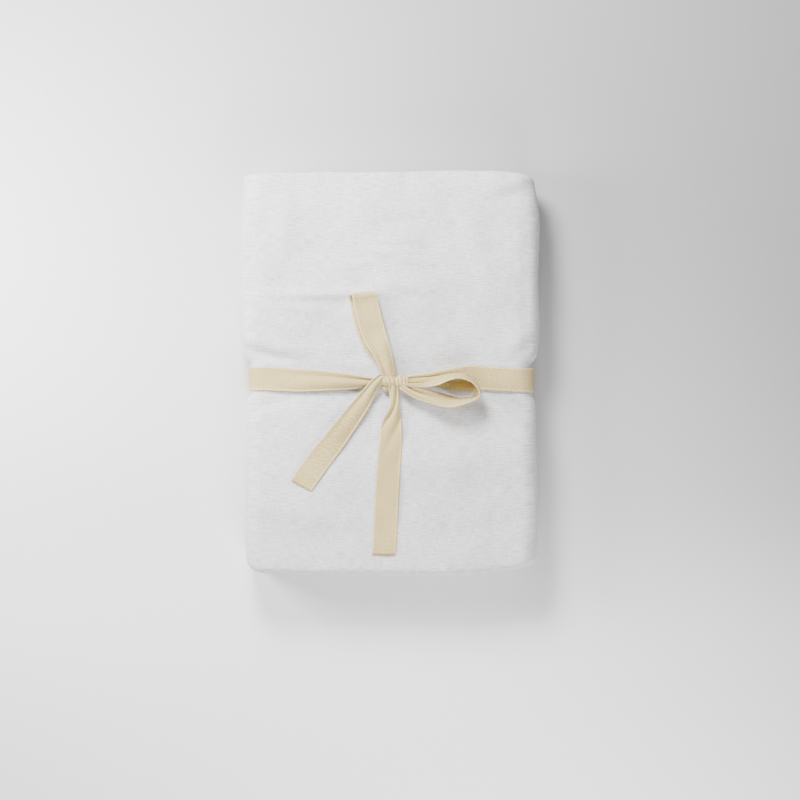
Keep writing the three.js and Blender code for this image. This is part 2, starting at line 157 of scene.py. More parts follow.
# Creases of the face: middle x and y, direction in degrees, half length, half width, bend, height
CREASES = (
    (-50, 63.5, 1, 44, 4, 0.0003, 3.4),
    (-74, 52, -4, 26, 5, 0, 1.4),
    (4, 106, 2, 22, 2.8, 0.001, 1.9),
    (-3, 97.5, -4, 19, 3, 0, 2.2),
    (22, 90, -9, 17, 3, 0, 1.7),
    (-26, 87, 12, 13, 3, 0, 1.5),
    (12, 70, -8, 22, 5, 0, 1.7),
    (8, 121, 8, 22, 4, -0.001, -1.4),
    (100, 143, 14, 16, 5, 0.001, -1.6),
    (94, 151, 14, 16, 4.4, 0.001, 1),
    (108, 19, 40, 12, 4, 0, -1.3),
    (102, 27, 42, 13, 4.2, 0, 1.2),
    (-96, 14, -16, 26, 4.4, 0, -2.4),
    (-92, 22, -14, 28, 5, 0, 1.6),
    (-100, -26, 14, 20, 4.6, 0, -1.8),
    (94, -27, -12, 20, 4.6, 0, -2),
    (40, -72, 4, 60, 10, 0.0003, 1.6),
    (-70, -112, -7, 40, 9, 0, 1.5),
    (60, -128, 9, 40, 8, 0.0006, -1.6),
    (-84, 122, 82, 30, 8, 0, 1.5),
    (70, 92, -74, 36, 9, 0, 1.4),
    (-110, 96, 88, 42, 6, 0, -1.2),
    (108, 60, 90, 80, 4, 0, -1.2),
    (-117.5, 152, 20, 4, 1.6, 0, -1.6),
)
# Slow unevenness of the cloth: wavelength, direction in degrees, height, phase
WAVES = (
    (96, 12, 0.6, 0.4),
    (71, 104, 0.5, 2.1),
    (53, 58, 0.36, 4.4),
    (41, 151, 0.26, 1.3),
    (29, 20, 0.15, 3.7),
    (23, 97, 0.13, 0.9),
    (17, 133, 0.08, 5.2),
)

# Tape
BAND_MIDDLE = 1.15  # from the cloth to the middle of the taut band
GROOVE = 1.7
BAND_Y = {"left": -3.6, "right": -4.9}
CORNER = SIDE_RADIUS + OUTERMOST + BAND_MIDDLE
ROLLERS = (
    (-TURN_X, FACE_Z - SIDE_RADIUS, CORNER),
    (-TURN_X, UNDER_Z + SIDE_RADIUS, CORNER),
    (UNDER_EDGE_X - 0.7, 1.6, 1.6 + BAND_MIDDLE),
    (TURN_X, FACE_Z - SIDE_RADIUS, CORNER),
)
ROLLER_STEPS = 16
BAND_ROW = 5  # distance between the band's places
TAPE_ROW = 1.6  # distance between mesh rows along the tape
TAPE_ACROSS = 25
GATHER_DEPTH = 0.8  # as a share of what takes up all the spare breadth
TABLE_STEPS = 4

# Runs of tape over the face: x, y, lift, width, turn, tilt, ridge
LEFT_ARM = (
    (-91, -4, 1.5, 19, 90, -5, 0),
    (-72, -5, 1.8, 18.4, 91, -5, 0.2),
    (-52, -5.4, 2.2, 15.8, 92, -7, 0.6),
    (-32, -6.3, 2.4, 11.8, 92, -8, 0.8),
    (-13, -6.9, 2.4, 6.8, 92, -4, 0.4),
    (0, -6.8, 2.6, 6, 92, 0, 0.2),
)
RIGHT_ARM = (
    (8, -6.4, 3.6, 6, 90, 0, 0.2),
    (18, -4.7, 2.4, 7.4, 92, 0, 0.2),
    (30, -4.6, 1.9, 10.6, 94, 0, 0.2),
    (46, -3.6, 1.4, 15.6, 94, 0, 0.2),
    (62, -2.8, 1.4, 19, 90, -4, 0.2),
    (78, -3.4, 1.5, 19, 88, -5, 0),
    (93, -4.3, 1.5, 19, 88, -5, 0),
)
LEFT_TAIL = (
    (-1, -3.8, 5, 4.6, -62, 0, 0),
    (-6.4, -2.6, 6.4, 5.8, -58, -4, 0.2),
    (-12.3, -8.5, 6.2, 8.4, -46, -6, 0.4),
    (-17.6, -16.4, 4.8, 11, -41, -5, 0.3),
    (-23.8, -25.2, 3.6, 13.8, -38, -5, 0.2),
    (-43.5, -51.9, 2.1, 17.8, -37, -4, 0.2),
    (-60.6, -74, 1.6, 19, -37, 0, 0),
    (-70.8, -89.3, 1.3, 18.4, -30, 0, 0),
)
DOWN_TAIL = (
    (2, -6, 4, 6.4, 0, 0, 0.2),
    (3, -13, 4.4, 7.2, 0, 4, 0.6),
    (4, -23, 3.6, 7.2, 0, 8, 0.8),
    (3, -30, 2.8, 10, -2, 6, 0.6),
    (1.4, -39.2, 2, 15.8, -3, 2, 0.4),
    (0.2, -57.4, 1.5, 18.6, -4, 0, 0),
    (-2, -85.2, 1.4, 19, -4, 0, 0),
    (-3.7, -122.4, 1.3, 19, -3, 0, 0),
    (-5.3, -144, 1.2, 18.6, -1, 0, 0),
)
UPPER_LOOP = (
    (3, -6, 4, 7, 20, 0, 0.4),
    (-1.6, 4.5, 3.6, 11, 22, 0, 0.6),
    (-7.4, 15.6, 2.8, 15.6, 24, 0, 0.2),
    (-13.9, 27, 2, 18.6, 20, 0, 0),
    (-18.6, 40, 1.6, 19, 15, 0, 0),
    (-21.4, 53, 1.3, 19, 11, 0, 0),
    (-22.7, 59.6, 1.3, 19, 8, 0, 0),
    (-22.9, 62.6, 2.5, 19.4, 6, -2, 0),
    (-21.6, 63.9, 4.4, 19.8, 5, -5, 0),
    (-20.1, 62.2, 6.4, 19.8, 6, -8, 0),
    (-19.3, 58, 6.8, 19.8, 9, -7, 0),
    (-17.7, 50, 6.6, 19.8, 12, -4, 0),
    (-15.7, 42, 6.4, 19.6, 14, 0, 0),
    (-13.6, 34.6, 6.6, 19.4, 16, 0, 0),
    (-11, 27.2, 6.8, 18.4, 19, 0, 0),
    (-6.4, 17.4, 7.2, 14.8, 22, 0, 0.4),
    (-3.3, 8, 6.8, 12.4, 21, 0, 0.4),
    (-0.6, -1, 5, 10.6, 18, 0, 0.2),
    (2, -5, 3.6, 9, 18, 0, 0),
)
# The loop on its edge: x and y of the near edge, heights of the far and near edges over the cloth,
# how far to the right and up the face the far edge lies, and how far the tape bows outwards between them
RIGHT_LOOP = (
    (6, -9.6, 6, 7.4, 0, 3.4, 0),
    (15.4, -10.8, 5.6, 8.2, 0, 4.8, 0),
    (26.6, -11.2, 5, 10.4, 0, 6.8, 0),
    (33, -10.4, 4, 13, 0, 7.2, 0),
    (38.3, -9.2, 2.9, 15.8, 0, 7, 0),
    (42.4, -7.2, 2.4, 17.8, 0.2, 6.2, 0),
    (47, -5.2, 2.3, 19, 0.2, 4.9, 0),
    (51.6, -3.7, 2.3, 20, 0.2, 3.7, 0),
    (56.2, -3.8, 2.3, 20.4, 0.4, 3.8, 0),
    (62.4, -5.8, 2.3, 20.4, 0.4, 3, 0.8),
    (67.2, -9.2, 2.3, 19.6, -1.4, 1.8, 2.2),
    (70.2, -13.6, 2.3, 19, -3.8, 0.8, 3),
    (70.6, -17.8, 2.3, 19, -4.4, 0.8, 2.2),
    (67.4, -20.6, 2.3, 19.6, -3.2, 2, 0.8),
    (57, -24.6, 1.6, 20, 0.2, 5.2, 0),
    (45, -26.8, 1.6, 17, 1, 9.4, 0),
    (31.7, -24, 3.6, 11.4, 1.3, 8.8, 0),
    (19, -19.6, 4.2, 8.4, 1.6, 7.6, 0),
    (7, -12.6, 3.4, 7.6, 1, 3.6, 0),
)
# How the spare breadth of each run gathers: waves across it, where they start, their drift to a
# millimetre, and the side that they rise to at its start and end
GATHERS = {
    "left_arm": (1.5, 148, 0, 1.1, 1.1),
    "right_arm": (3, 54, 0, 1.2, 1.2),
    "left_tail": (1.5, 58, 0, 0.7, 0.1),
    "down_tail": (1.5, 10, 13, 1.1, 0.4),
    "upper_loop": (1.5, 30, 0, 0.5, 0.5),
    "right_loop": (2, -130, 0.9, -1.8, 2.3),
}
# Turns of the knot: x, y, lift, breadth, height, depth, tilt, and the pleats with their phase,
# slant and depth
KNOT = (
    (-0.6, -6, 5.6, 10.4, 8, 7.4, -10, 3, 60, 1.9, 1),
    (9.7, -6.8, 5.6, 10.8, 10, 10, -8, 4, 60, 1.3, 1.8),
    (-3, -11.2, 3.4, 4.4, 5.4, 4.2, 24, 2, 90, 0.1, 0.6),
)
KNOT_ARC = (-70, 250)
KNOT_STEPS = 48
KNOT_ACROSS = 49
KNOT_CURL = 0.9  # how far the edges of a turn curl in, as a share of its radius
PLEAT_LEAN = 0.1  # how much wider the pleats are at one side of a turn
PLEAT_EVEN = (0.8, 0.2)  # share of a pleat's depth that is the same all over, and share that varies

# Camera and lights
PIXEL = 0.8  # millimetres of the face to a pixel of the picture
PICTURE = 800
VIEW_POINT = (8.2, -21.5, 36)  # what the middle of the picture shows, in the frame
STAGE_MIDDLE = (0, 0, 20)
# Lights: name, place and size, in metres
LAMPS = (
    ("key", (-0.19, 0.53, 0.53), 0.26),
    ("side", (-0.5, 0.12, 0.3), 0.2),
    ("fill", (0.16, -0.68, 0.5), 0.3),
)
FLOOR_SHADE = (-200, 300)  # where the floor's painted shade starts and ends, along the way to the upper right
FLOOR_STEP = (-230, -90)  # and where a little more painted shade comes in, in front of the bundle


class ClothSizes(bpy.types.PropertyGroup):
    """Sizes and colours of the folded protector"""

    thickness: bpy.props.FloatProperty(
        name="Thickness",
        description="Thickness of the brushed cloth",
        default=0.0027,
        min=0.001,
        max=0.003,
        subtype="DISTANCE",
        unit="LENGTH",
    )
    creasing: bpy.props.FloatProperty(
        name="Creasing",
        description="How deep the creases of the face are, as a share of their own depths",
        default=1,
        min=0,
        max=2,
        subtype="FACTOR",
    )
    light_colour: bpy.props.FloatVectorProperty(
        name="Light yarn",
        description="Colour of the raised fibres",
        default=(0.79, 0.775, 0.79),
        size=3,
        min=0,
        max=1,
        subtype="COLOR",
    )
    dark_colour: bpy.props.FloatVectorProperty(
        name="Dark yarn",
        description="Colour between the yarns",
        default=(0.52, 0.505, 0.515),
        size=3,
        min=0,
        max=1,
        subtype="COLOR",
    )


class TapeSizes(bpy.types.PropertyGroup):
    """Sizes and colours of the tie tape"""

    width: bpy.props.FloatProperty(
        name="Width",
        description="Width of the tape from selvedge to selvedge",
        default=0.019,
        min=0.01,
        max=0.03,
        subtype="DISTANCE",
        unit="LENGTH",
    )
    thickness: bpy.props.FloatProperty(
        name="Thickness",
        description="Thickness of the tape",
        default=0.0009,
        min=0.0005,
        max=0.0011,
        subtype="DISTANCE",
        unit="LENGTH",
    )
    light_colour: bpy.props.FloatVectorProperty(
        name="Light thread",
        description="Colour of the ribs",
        default=(0.78, 0.64, 0.32),
        size=3,
        min=0,
        max=1,
        subtype="COLOR",
    )
    dark_colour: bpy.props.FloatVectorProperty(
        name="Dark thread",
        description="Colour between the ribs",
        default=(0.4, 0.28, 0.1),
        size=3,
        min=0,
        max=1,
        subtype="COLOR",
    )
    selvedge_colour: bpy.props.FloatVectorProperty(
        name="Selvedge",
        description="Colour of the plain edges",
        default=(0.82, 0.7, 0.41),
        size=3,
        min=0,
        max=1,
        subtype="COLOR",
    )


class StageLook(bpy.types.PropertyGroup):
    """Floor, lights and camera"""

    floor_colour: bpy.props.FloatVectorProperty(
        name="Floor",
        description="Colour of the floor in front",
        default=(0.93, 0.93, 0.93),
        size=3,
        min=0,
        max=1,
        subtype="COLOR",
    )
    # Painted shade: a darker floor colour, mixed in towards the upper right and a little from in front
    # of the bundle upwards, where light falls off
    painted_shade_colour: bpy.props.FloatVectorProperty(
        name="Painted floor shade",
        description="Painted shade colour of the floor towards the upper right",
        default=(0.38, 0.375, 0.38),
        size=3,
        min=0,
        max=1,
        subtype="COLOR",
    )
    floor_size: bpy.props.FloatProperty(
        name="Floor size",
        description="Length of a side of the floor",
        default=12,
        min=1,
        subtype="DISTANCE",
        unit="LENGTH",
    )
    camera_distance: bpy.props.FloatProperty(
        name="Camera distance",
        description="From the camera to the face of the bundle",
        default=1.6,
        min=0.5,
        subtype="DISTANCE",
        unit="LENGTH",
    )
    key_power: bpy.props.FloatProperty(
        name="Key light",
        description="Power of the main soft light, above and to the left of the top edge",
        default=15.5,
        min=0,
        subtype="POWER",
        unit="POWER",
    )
    side_power: bpy.props.FloatProperty(
        name="Side light",
        description="Power of the low soft light at the left",
        default=5.5,
        min=0,
        subtype="POWER",
        unit="POWER",
    )
    fill_power: bpy.props.FloatProperty(
        name="Fill light",
        description="Power of the weak soft light in front, which lightens the shadows",
        default=7.5,
        min=0,
        subtype="POWER",
        unit="POWER",
    )
    sky_strength: bpy.props.FloatProperty(
        name="Room light",
        description="Strength of the even light of the room",
        default=0.32,
        min=0,
    )


# Curves through tables


def along(table, place):
    """Values of a table at places, on a smooth curve through its rows that never overshoots."""
    at, edge = np.array(table, float).T
    climb = np.diff(edge) / np.diff(at)
    before, after = climb[:-1], climb[1:]
    same_way = before * after > 0
    total = np.where(same_way, before + after, 1)
    inner = np.where(same_way, 2 * before * after / total, 0)
    slope = np.concatenate([climb[:1], inner, climb[-1:]])
    place = np.clip(place, at[0], at[-1])
    i = np.clip(np.searchsorted(at, place, side="right") - 1, 0, len(at) - 2)
    gap = at[i + 1] - at[i]
    return bent(edge[i], edge[i + 1], slope[i] * gap, slope[i + 1] * gap, (place - at[i]) / gap)


def bent(start, end, leave, arrive, t):
    """A value between two others, on a curve with the given slopes at both."""
    share = t * t * (3 - 2 * t)
    return start + (end - start) * share + leave * t * (1 - t) ** 2 + arrive * t * t * (t - 1)


def smoothed(table, steps):
    """Rows of a table with smooth in-between rows, evenly many in each stretch."""
    rows = np.array(table, float)
    last = len(rows) - 1
    number = np.arange(last + 1)
    slope = (rows[np.minimum(number + 1, last)] - rows[np.maximum(number - 1, 0)]) / 2
    t = (np.arange(steps) / steps)[None, :, None]
    between = bent(rows[:-1, None], rows[1:, None], slope[:-1, None], slope[1:, None], t)
    return np.vstack([between.reshape(-1, rows.shape[1]), rows[-1:]])


def refined(stations, step):
    """Stations {middle x y z, breadth x y z, ridge} at even distances on a smooth curve through them."""
    gap = np.linalg.norm(np.diff(stations[:, :3], axis=0), axis=1)
    at = np.concatenate([[0], np.cumsum(gap)])
    slope = np.gradient(stations, at, axis=0)
    count = max(4, round(at[-1] / step))
    place = np.linspace(0, at[-1], count + 1)
    i = np.clip(np.searchsorted(at, place, side="right") - 1, 0, len(at) - 2)
    reach = gap[i][:, None]
    t = ((place - at[i]) / gap[i])[:, None]
    return bent(stations[i], stations[i + 1], slope[i] * reach, slope[i + 1] * reach, t)


def eased(value, low, high):
    t = np.clip((value - low) / (high - low), 0, 1)
    return t * t * (3 - 2 * t)


# Shape of the bundle


def groove_depth(y):
    """How fully the tape presses the cloth in at this height of the face, from 0 to 1."""
    low, high, fade = GROOVE_ROWS["low"], GROOVE_ROWS["high"], GROOVE_ROWS["fade"]
    return eased(y, low - fade, low) * (1 - eased(y, high, high + fade))


def plumped(x, y, z):
    """Height of the stack's layer at z, once the cloth is plumped up and tied."""
    u = np.clip(2 * x / FACE_WIDTH, -1, 1)
    rise = along(FACE_RISE, y) + CROWN * (1 - u * u)
    return z * (1 + rise / STACK) + GROOVE * groove_depth(y) * (1 - z / STACK)


def relief(x, y):
    """Creases and unevenness of the face, much weaker where the tape lies taut on it."""
    height = np.zeros(np.broadcast(x, y).shape)
    for cx, cy, way, long, wide, bend, high in CREASES:
        c, s = math.cos(math.radians(way)), math.sin(math.radians(way))
        run = (x - cx) * c + (y - cy) * s
        off = (y - cy) * c - (x - cx) * s - bend * run * run
        height += high * np.exp(-((off / wide) ** 2) - (run / long) ** 4)
    height *= bpy.context.scene.cloth_sizes.creasing
    for length, way, high, phase in WAVES:
        c, s = math.cos(math.radians(way)), math.sin(math.radians(way))
        height += high * np.sin(2 * math.pi * (x * c + y * s) / length + phase)
    return height * (1 - GROOVE_CALM * groove_depth(y))


def swayed(x, y, z):
    """Small sideways unevenness of the folded sides and ends."""
    side = np.abs(2 * x / FACE_WIDTH) ** 4
    end = np.abs(2 * y / FACE_HEIGHT) ** 6
    calm = 1 - groove_depth(y)
    across = 0.35 * np.sin(y / 11.3 + z / 7) + 0.3 * np.sin(y / 23 - z / 5 + 1)
    up = 0.3 * np.sin(x / 13.7 + z / 6) + 0.35 * np.sin(x / 31 - z / 8 + 2)
    return x + side * calm * across, y + end * up


def bundled(x, y, z):
    """A point of the flat, even stack moved to where the bundle has it."""
    end = FACE_HEIGHT / 2
    shift = np.where(y < 0, along(BOTTOM_EDGE, x) + end, along(TOP_EDGE, x) - end)
    y1 = y + shift * np.abs(y / end) ** 3
    right = (x + FACE_WIDTH / 2) / FACE_WIDTH
    left_edge = along(LEFT_EDGE, y1)
    x1 = left_edge + (along(RIGHT_EDGE, y1) - left_edge) * right
    depth = eased(z, STACK - PANEL - OUTERMOST, STACK)
    z1 = np.maximum(plumped(x1, y1, z) + relief(x1, y1) * depth, 0)
    x1, y1 = swayed(x1, y1, z)
    return np.stack(np.broadcast_arrays(x1, y1, z1), -1)


def face_height(x, y):
    return plumped(x, y, STACK) + relief(x, y)


# Meshes


def sheet_object(name, surfaces, material):
    """One object of closed sheets, each from its upper and lower surface and its flat layout."""
    points, faces, flats = [], [], []
    start = 0
    for upper, lower, flat in surfaces:
        rows, columns = upper.shape[:2]
        count = rows * columns
        top = np.arange(count).reshape(rows, columns) + start
        bottom = top + count
        for edge in (np.s_[0, :], np.s_[-1, :], np.s_[:, 0], np.s_[:, -1]):
            bottom[edge] = top[edge]
        points += [upper.reshape(-1, 3), lower.reshape(-1, 3)]
        flats += [flat.reshape(-1, 2)] * 2
        for grid, order in ((top, (0, 1, 2, 3)), (bottom, (3, 2, 1, 0))):
            corners = (grid[:-1, :-1], grid[:-1, 1:], grid[1:, 1:], grid[1:, :-1])
            faces.append(np.stack([corners[k].ravel() for k in order], 1))
        start += 2 * count
    points, faces, flats = np.vstack(points), np.vstack(faces), np.vstack(flats)
    used, numbered = np.unique(faces, return_inverse=True)
    faces = numbered.reshape(faces.shape)
    shift = np.array([*BUNDLE_SHIFT, 0])
    mesh = bpy.data.meshes.new(name)
    mesh.from_pydata(((points[used] + shift) * MM).tolist(), [], faces.tolist())
    mesh.polygons.foreach_set("use_smooth", np.ones(len(faces), bool))
    layer = mesh.uv_layers.new(name=FLAT_MAP)
    layer.uv.foreach_set("vector", (flats[used][faces.ravel()] * MM).ravel())
    mesh.materials.append(material)
    mesh.validate()
    made = bpy.data.objects.new(name, mesh)
    bpy.context.collection.objects.link(made)
    return made


def rounding(distance, thickness):
    """Share of the thickness that a sheet has at a distance from its edge."""
    t = np.clip(2 * distance / thickness, 0, 1)
    return np.sqrt(t * (2 - t))


# The protector


def spaced(start, stop, step):
    count = max(1, round(abs(stop - start) / step))
    return np.linspace(start, stop, count + 1)


def hemmed(start, stop, step):
    """Places from a hemmed edge at start towards stop."""
    way = 1 if stop > start else -1
    hem = [start + way * d for d in HEM_ROWS]
    return np.concatenate([hem[:-1], spaced(hem[-1], stop, step)])


def panel_profile():
    """The four layers of a panel from the side: rows { y, out, normal y, normal out }."""
    rows = []
    half = FACE_HEIGHT / 2

    def layer(level, ys):
        facing = -1 if ys[0] > ys[-1] else 1
        out = (level - 1.5) * PITCH
        rows.extend((y, out, 0, facing) for y in ys)

    def fold(y, out, radius, start, stop, steps):
        side = 1 if stop < start else -1
        for i in range(1, steps):
            angle = math.radians(start + (stop - start) * i / steps)
            c, s = math.cos(angle), math.sin(angle)
            rows.append((y + radius * c, out + radius * s, side * c, side * s))

    layer(0, hemmed(half + HEM_PROUD["inmost"], BOTTOM_Y, COARSE))
    fold(BOTTOM_Y, 0, OUTER_FOLD, -90, -270, TURN_STEPS["outer_fold"])
    layer(3, spaced(BOTTOM_Y, TOP_Y, FINE))
    fold(TOP_Y, PITCH, INNER_FOLD, 90, -90, TURN_STEPS["inner_fold"])
    layer(2, spaced(TOP_Y, BOTTOM_Y, COARSE))
    fold(BOTTOM_Y, 0, INNER_FOLD, 90, 270, TURN_STEPS["inner_fold"])
    layer(1, hemmed(half + HEM_PROUD["second"], BOTTOM_Y, COARSE)[::-1])
    return np.array(rows, float)


def panel_path():
    """The way the panels follow each other: rows { x, z, normal x, normal z, slip }."""
    rows = []
    hub = FACE_Z - SIDE_RADIUS

    def flat(xs, z, slip):
        facing = -1 if xs[0] > xs[-1] else 1
        span = xs[-1] - xs[0]
        rows.extend((x, z, 0, -facing, slip((x - xs[0]) / span)) for x in xs)

    def turn(x, z, start, stop, steps):
        for i in range(1, steps):
            angle = math.radians(start + (stop - start) * i / steps)
            nx, nz = math.cos(angle), math.sin(angle)
            rows.append((x + SIDE_RADIUS * nx, z + SIDE_RADIUS * nz, nx, nz, 0))

    flat(hemmed(MIDDLE_EDGE_X, TURN_X, COARSE), MIDDLE_Z, lambda t: SKEW["middle"] * (1 - t))
    turn(TURN_X, hub, -90, 90, TURN_STEPS["right"])
    flat(spaced(TURN_X, -TURN_X, FINE), FACE_Z, lambda t: 0)
    turn(-TURN_X, hub, 90, 180, TURN_STEPS["left"])
    rows.append((-TURN_X - SIDE_RADIUS, hub, -1, 0, 0))
    rows.append((-TURN_X - SIDE_RADIUS, UNDER_Z + SIDE_RADIUS, -1, 0, 0))
    turn(-TURN_X, UNDER_Z + SIDE_RADIUS, 180, 270, TURN_STEPS["left"])
    flat(hemmed(UNDER_EDGE_X, -TURN_X, COARSE)[::-1], UNDER_Z, lambda t: SKEW["under"] * t)
    return np.array(rows, float)


def lengths(points):
    """Distance of each point from the first, along the line through them."""
    gap = np.linalg.norm(np.diff(points, axis=0), axis=1)
    return np.concatenate([[0], np.cumsum(gap)])


def protector_sheet(thickness):
    """The whole cloth in its folds: its two surfaces and its flat layout."""
    profile, path = panel_profile(), panel_path()
    up, over = lengths(profile[:, :2]), lengths(path[:, :2])
    from_hem = np.minimum(up, up[-1] - up)[:, None]
    from_side = np.minimum(over, over[-1] - over)[None, :]
    body = np.ones((len(up), len(over))) * thickness / 2
    for distance in (from_hem, from_side):
        body += HEM_EXTRA * (1 - eased(distance, HEM_STITCH, HEM_STITCH + HEM_FADE))
        body -= HEM_PINCH * np.exp(-(((distance - HEM_STITCH) / STITCH_GROOVE) ** 2))
    body *= rounding(from_hem, thickness) * rounding(from_side, thickness)
    y, out, ny, nout = profile.T[:, :, None]
    x, z, nx, nz, slip = path.T[:, None, :]
    faces = []
    for side in (1, -1):
        off = out + side * nout * body
        high = y + side * ny * body
        high = high + slip * (2 * high / FACE_HEIGHT) ** 2
        faces.append(bundled(x + off * nx, high, z + off * nz))
    flat = np.stack(np.broadcast_arrays(over[None, :], up[:, None]), -1)
    return faces[0], faces[1], flat


# The tape


def across_tape(count):
    """Places across the tape from -1 to 1, closer together towards its edges."""
    return np.sin(np.linspace(-1, 1, count) * math.pi / 2)[None, :]


def gathered(stations, name):
    """Stations with how their spare breadth gathers: the waves across it, their start and their side."""
    waves, phase, drift, first, last = GATHERS[name]
    run = lengths(stations[:, :3])
    side = first + (last - first) * run / run[-1]
    return np.column_stack([stations, np.full(len(run), waves), phase + drift * run, side])


def ribbon(stations, width, thickness):
    """A strip of tape through stations, gathered where it is narrower than its own width."""
    rows = refined(stations, TAPE_ROW)
    middle, breadth = rows[:, :3], rows[:, 3:6]
    ridge, waves, phase, side = rows[:, 6:].T[:, :, None]
    t = across_tape(TAPE_ACROSS)
    shown = 2 * np.linalg.norm(breadth, axis=1)[:, None]
    spare = np.sqrt(np.clip(width / (shown + 8 / 3 * ridge**2 / shown) - 1, 0, None))
    depth = 2 * side * shown / (math.pi * waves) * spare * GATHER_DEPTH
    gather = np.abs(np.sin(math.pi / 2 * waves * t + np.radians(phase / 2 + 45)))
    hump = ridge * (1 - t * t) + depth * gather
    normal = np.cross(np.gradient(middle, axis=0), breadth)
    normal /= np.linalg.norm(normal, axis=1)[:, None]
    surface = middle[:, None] + breadth[:, None] * t[..., None] + normal[:, None] * hump[..., None]
    return strip(surface, lengths(middle), width, thickness)


def strip(surface, forth, width, thickness):
    """The two surfaces and the flat layout of tape whose middle surface is given."""
    t = across_tape(surface.shape[1])
    flat = np.stack(np.broadcast_arrays(forth[:, None], (t + 1) * width / 2), -1)
    from_side = (1 - np.abs(t)) * width / 2
    from_end = np.minimum(forth, forth[-1] - forth)[:, None]
    half = thickness / 2 * rounding(from_side, thickness) * rounding(from_end, thickness)
    out = np.cross(np.gradient(surface, axis=0), np.gradient(surface, axis=1))
    out /= np.linalg.norm(out, axis=2)[..., None]
    return surface + out * half[..., None], surface - out * half[..., None], flat


def lying(table):
    """Stations of tape that lies over the face."""
    x, y, lift, width, turn, tilt, ridge = smoothed(table, TABLE_STEPS).T
    turn, tilt = np.radians(turn), np.radians(tilt)
    breadth = np.stack([np.cos(turn) * np.cos(tilt), np.sin(turn) * np.cos(tilt), np.sin(tilt)], 1)
    middle = np.stack([x, y, face_height(x, y) + lift], 1)
    return np.column_stack([middle, breadth * width[:, None] / 2, ridge])


def standing(table):
    """Stations of tape that stands on its edge."""
    x, y, foot, lift, over, up, bow = smoothed(table, TABLE_STEPS).T
    face = face_height(x, y)
    near = np.stack([x, y, face + lift], 1)
    far = np.stack([x + over, y + up, face + foot], 1)
    return np.column_stack([(near + far) / 2, (near - far) / 2, -bow])


def band_stations(width):
    """The taut band round the back: over each roller, and straight from one to the next."""
    places = []
    start = math.pi / 2
    for i, (x, z, radius) in enumerate(ROLLERS):
        stop = math.pi / 2
        if i + 1 < len(ROLLERS):
            x2, z2, radius2 = ROLLERS[i + 1]
            way = math.atan2(z2 - z, x2 - x)
            stop = way - math.acos((radius - radius2) / math.hypot(x2 - x, z2 - z))
        stop = start + (stop - start) % (2 * math.pi)
        angle = np.linspace(start, stop, ROLLER_STEPS)
        places.append(np.stack([x + radius * np.cos(angle), z + radius * np.sin(angle)], 1))
        start = stop
    places = np.vstack(places)
    at = lengths(places)
    even = spaced(0, at[-1], BAND_ROW)
    x, z = (np.interp(even, at, values) for values in places.T)
    y = BAND_Y["left"] + (BAND_Y["right"] - BAND_Y["left"]) * (x + FACE_WIDTH / 2) / FACE_WIDTH
    low, high = (bundled(x, y + side * width / 2, z) for side in (-1, 1))
    return np.column_stack([(low + high) / 2, (high - low) / 2, np.zeros(len(x))])


def knot_turn(turn, width, thickness):
    """One turn of the knot over the tapes that it holds, pleated across and curled in at both sides."""
    x, y, lift, breadth, height, depth, tilt, pleats, phase, slant, pleat_depth = turn
    angle = np.radians(np.linspace(*KNOT_ARC, KNOT_STEPS))[:, None]
    t = across_tape(KNOT_ACROSS)
    radius = 1 - KNOT_CURL * (1 - np.sqrt(1 - t**6))
    start = math.radians(phase) + slant * angle
    even, uneven = PLEAT_EVEN
    pleat = np.abs(np.sin(math.pi / 2 * pleats * (t + PLEAT_LEAN * (1 - t * t)) + start)) - 1
    pleat *= pleat_depth * (even + uneven * np.sin(4 * t + start))
    up = (height / 2 * radius + pleat) * np.cos(angle)
    out = (depth / 2 * radius + pleat) * np.sin(angle)
    over = np.broadcast_to(-t * breadth / 2, up.shape)
    c, s = math.cos(math.radians(tilt)), math.sin(math.radians(tilt))
    face = face_height(x, y) + lift
    surface = np.stack([x + over * c - up * s, y + over * s + up * c, face + out], -1)
    return strip(surface, lengths(surface[:, KNOT_ACROSS // 2]), width, thickness)


def tape_runs(width, thickness):
    """Every run of the tape: round the bundle, the two ends, the two loops and the turns of the knot."""
    right, left = gathered(lying(RIGHT_ARM), "right_arm"), gathered(lying(LEFT_ARM), "left_arm")
    band = gathered(band_stations(width), "right_arm")
    runs = [
        np.vstack([right, band[::-1], left]),
        gathered(lying(LEFT_TAIL), "left_tail"),
        gathered(lying(DOWN_TAIL), "down_tail"),
        gathered(lying(UPPER_LOOP), "upper_loop"),
        gathered(standing(RIGHT_LOOP), "right_loop"),
    ]
    strips = [ribbon(run, width, thickness) for run in runs]
    return strips + [knot_turn(turn, width, thickness) for turn in KNOT]


# Materials


class Amount:
    """A number that varies over a surface. Arithmetic on it adds Math nodes."""

    def __init__(self, finish, socket):
        self.finish = finish
        self.socket = socket

    def __add__(self, other):
        return self.finish.maths("ADD", self, other)

    def __sub__(self, other):
        return self.finish.maths("SUBTRACT", self, other)

    def __rsub__(self, other):
        return self.finish.maths("SUBTRACT", other, self)

    def __mul__(self, other):
        return self.finish.maths("MULTIPLY", self, other)

    def __truediv__(self, other):
        return self.finish.maths("DIVIDE", self, other)

    __radd__ = __add__
    __rmul__ = __mul__


